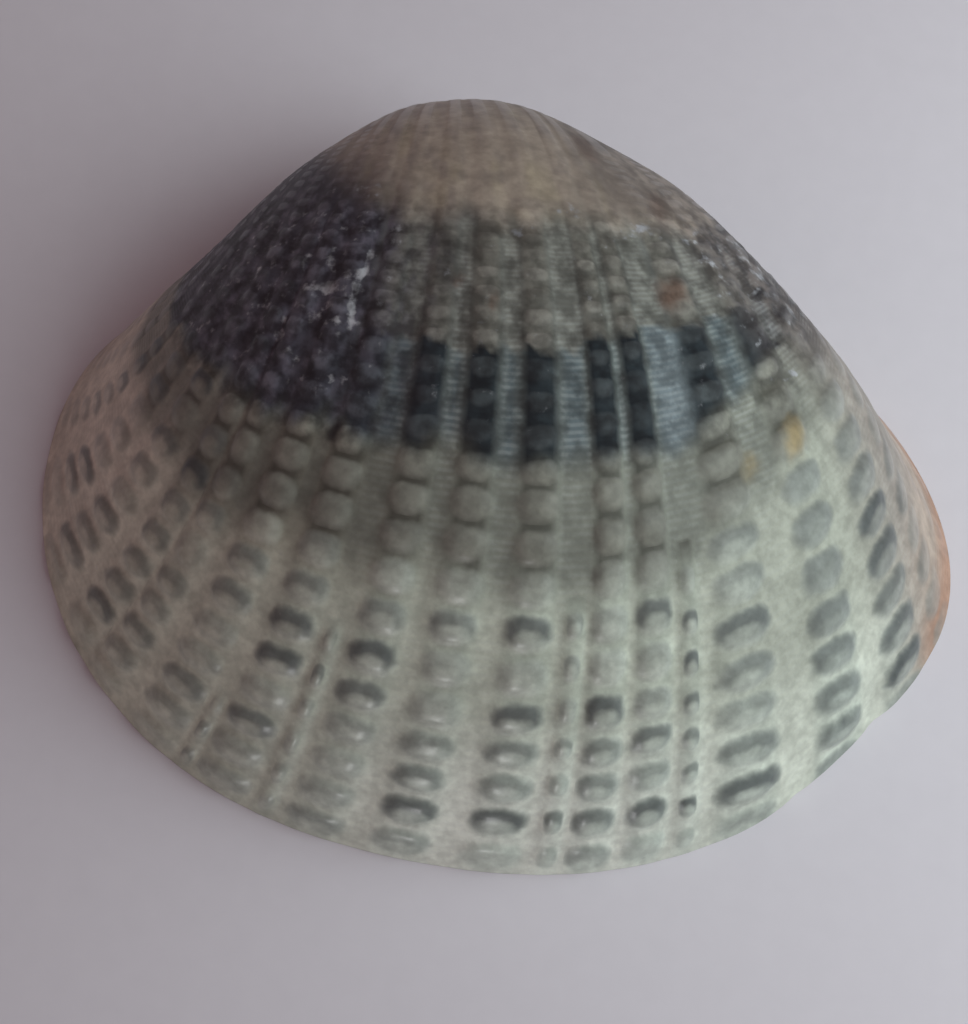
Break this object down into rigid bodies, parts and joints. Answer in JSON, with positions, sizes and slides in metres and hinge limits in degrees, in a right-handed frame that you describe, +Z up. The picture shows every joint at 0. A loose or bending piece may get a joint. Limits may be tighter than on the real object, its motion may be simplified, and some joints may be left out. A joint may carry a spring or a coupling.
{
  "type": "venus clam shell",
  "caption": "Single ribbed and knobbly valve of a venus clam, an empty sea shell half that lies on its margin with the outside up.",
  "frame": {"origin": "middle of the footprint, in the plane of the margin that the valve rests on", "axes": "+X towards the rear end of the valve, +Y towards the hinge and beak, +Z up through the crown of the shell"},
  "size_m": [0.0392, 0.033, 0.0132],
  "materials": {
    "worn_shell": "satin, weathered shell: grey-green to slate outside, glossy pale inside"
  },
  "bodies": {
    "root": {"left_valve": "worn_shell"}
  },
  "joints": []
}
